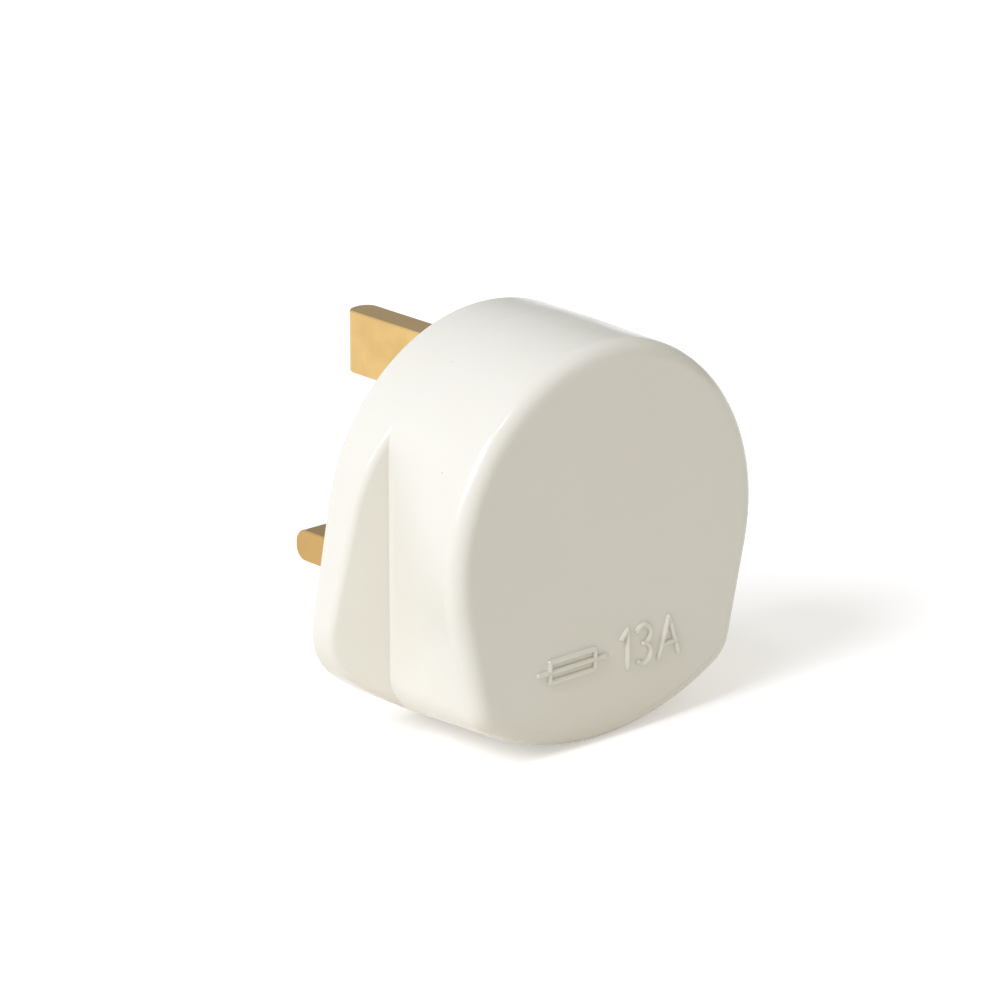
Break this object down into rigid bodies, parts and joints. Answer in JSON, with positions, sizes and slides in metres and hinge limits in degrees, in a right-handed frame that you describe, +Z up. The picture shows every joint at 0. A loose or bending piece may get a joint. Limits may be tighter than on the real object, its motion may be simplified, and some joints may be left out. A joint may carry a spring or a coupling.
{
  "type": "three-pin mains plug",
  "caption": "Rewirable fused mains plug: moulded ivory cover with raked finger grips, rectangular brass pins, screw terminals, cartridge fuse and cord clamp.",
  "frame": {"origin": "on the pin face, midway between the earth pin's axis and the line through the live and neutral pins", "axes": "+Y along the pins, out of the pin face; +Z up, towards the earth pin; +X towards the live pin; the cover's back faces -Y"},
  "size_m": [0.0538, 0.0457, 0.0497],
  "materials": {
    "cover_thermoset": "glossy ivory moulding",
    "base_thermoset": "satin ivory moulding",
    "pin_brass": "drawn brass, lightly tarnished",
    "terminal_brass": "machined brass",
    "spring_brass": "rolled spring sheet",
    "sleeve_plastic": "black moulded sleeve",
    "fuse_ceramic": "glazed ceramic",
    "fuse_cap_plate": "plated",
    "screw_steel": "zinc plated",
    "clamp_fibre": "pressed fibre board",
    "washer_fibre": "red vulcanised fibre"
  },
  "bodies": {
    "root": {"cover": "cover_thermoset", "base": "base_thermoset", "earth_pin": "pin_brass", "neutral_pin": "pin_brass", "live_pin": "pin_brass", "neutral_pin_sleeve": "sleeve_plastic", "live_pin_sleeve": "sleeve_plastic", "live_terminal": "terminal_brass", "fuse_clip_lower": "spring_brass", "fuse_clip_upper": "spring_brass", "fuse_clip_rivet_lower": "terminal_brass", "fuse_clip_rivet_upper": "terminal_brass", "fuse_barrel": "fuse_ceramic", "fuse_cap_lower": "fuse_cap_plate", "fuse_cap_upper": "fuse_cap_plate", "earth_terminal_screw": "screw_steel", "neutral_terminal_screw": "screw_steel", "live_terminal_screw": "screw_steel", "cord_clamp_screw_left": "screw_steel", "cord_clamp_screw_right": "screw_steel", "cover_screw": "screw_steel", "cord_clamp_bar": "clamp_fibre", "screw_retaining_washer": "washer_fibre", "cover_screw_insert": "terminal_brass"}
  },
  "joints": []
}
